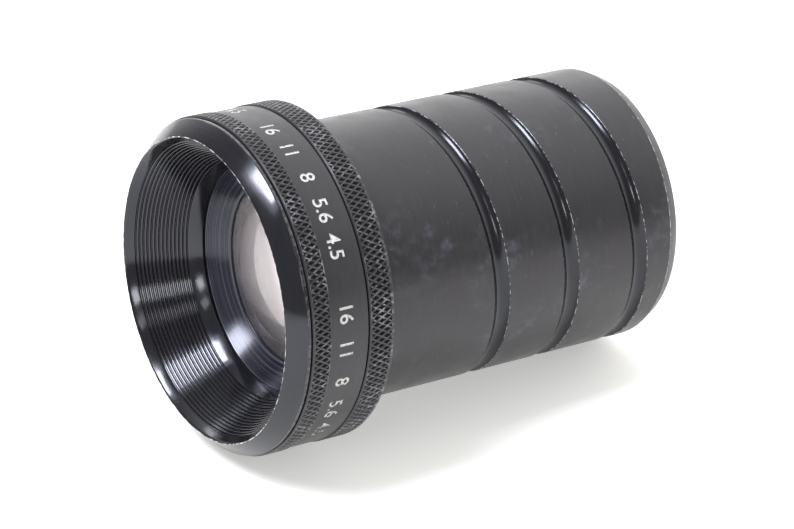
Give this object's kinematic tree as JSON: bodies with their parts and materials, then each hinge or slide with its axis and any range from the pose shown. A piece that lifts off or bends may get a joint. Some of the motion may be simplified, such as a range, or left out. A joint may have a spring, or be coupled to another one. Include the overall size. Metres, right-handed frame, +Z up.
{
  "type": "enlarging lens",
  "caption": "Long-barrelled enlarging lens with a ridged front hood, a knurled aperture ring, an iris, and a helical focusing groove cut round its black barrel.",
  "frame": {"origin": "on the optical axis, halfway between the front rim and the rear end of the barrel", "axes": "the optical axis is Y, the front of the lens faces -Y, and +Z is up as the lens lies on its side"},
  "size_m": [0.0634, 0.0896, 0.0634],
  "materials": {
    "gloss_black": "polished black anodised",
    "satin_black": "satin black anodised, lightly worn",
    "anodised_ring": "finely machined blue-black anodised",
    "coated_glass": "polished, magenta anti-reflection coating",
    "iris_steel": "blued spring steel",
    "screw_steel": "turned steel",
    "drive_brass": "turned brass"
  },
  "bodies": {
    "lens_body": {"front_hood": "gloss_black", "grip_flange": "satin_black", "flange_lock_screw": "screw_steel", "barrel": "satin_black", "front_cell": "gloss_black", "cell_clamp_ring": "gloss_black", "front_retaining_ring": "anodised_ring", "front_element": "coated_glass", "second_element": "coated_glass", "second_retaining_ring": "gloss_black", "iris_housing": "gloss_black", "rear_cell": "gloss_black", "rear_pair_flint": "coated_glass", "rear_pair_crown": "coated_glass", "rear_retaining_ring": "anodised_ring", "click_ball": "screw_steel", "click_spring": "screw_steel"},
    "aperture_control": {"aperture_ring": "satin_black", "drive_screw": "screw_steel", "drive_bar": "drive_brass", "iris_cam_ring": "iris_steel"},
    "blade_1": {"iris_blade_1": "iris_steel"},
    "blade_2": {"iris_blade_2": "iris_steel"},
    "blade_3": {"iris_blade_3": "iris_steel"},
    "blade_4": {"iris_blade_4": "iris_steel"},
    "blade_5": {"iris_blade_5": "iris_steel"},
    "blade_6": {"iris_blade_6": "iris_steel"}
  },
  "joints": [
    {"name": "aperture_ring_turn", "type": "hinge", "parent": "lens_body", "child": "aperture_control", "pos_m": [0, 0, 0], "axis": [0, 1, 0], "range_deg": [0, 50]},
    {"name": "iris_blade_1_swing", "type": "hinge", "parent": "lens_body", "child": "blade_1", "pos_m": [0.01732, -0.01185, 0.01], "axis": [0, 1, 0], "range_deg": [0, 25]},
    {"name": "iris_blade_2_swing", "type": "hinge", "parent": "lens_body", "child": "blade_2", "pos_m": [0, -0.01185, 0.02], "axis": [0, 1, 0], "range_deg": [0, 25]},
    {"name": "iris_blade_3_swing", "type": "hinge", "parent": "lens_body", "child": "blade_3", "pos_m": [-0.01732, -0.01185, 0.01], "axis": [0, 1, 0], "range_deg": [0, 25]},
    {"name": "iris_blade_4_swing", "type": "hinge", "parent": "lens_body", "child": "blade_4", "pos_m": [-0.01732, -0.01185, -0.01], "axis": [0, 1, 0], "range_deg": [0, 25]},
    {"name": "iris_blade_5_swing", "type": "hinge", "parent": "lens_body", "child": "blade_5", "pos_m": [0, -0.01185, -0.02], "axis": [0, 1, 0], "range_deg": [0, 25]},
    {"name": "iris_blade_6_swing", "type": "hinge", "parent": "lens_body", "child": "blade_6", "pos_m": [0.01732, -0.01185, -0.01], "axis": [0, 1, 0], "range_deg": [0, 25]}
  ],
  "couplings": [
    {"joint": "iris_blade_1_swing", "follows": "aperture_ring_turn", "ratio": 0.5},
    {"joint": "iris_blade_2_swing", "follows": "aperture_ring_turn", "ratio": 0.5},
    {"joint": "iris_blade_3_swing", "follows": "aperture_ring_turn", "ratio": 0.5},
    {"joint": "iris_blade_4_swing", "follows": "aperture_ring_turn", "ratio": 0.5},
    {"joint": "iris_blade_5_swing", "follows": "aperture_ring_turn", "ratio": 0.5},
    {"joint": "iris_blade_6_swing", "follows": "aperture_ring_turn", "ratio": 0.5}
  ]
}
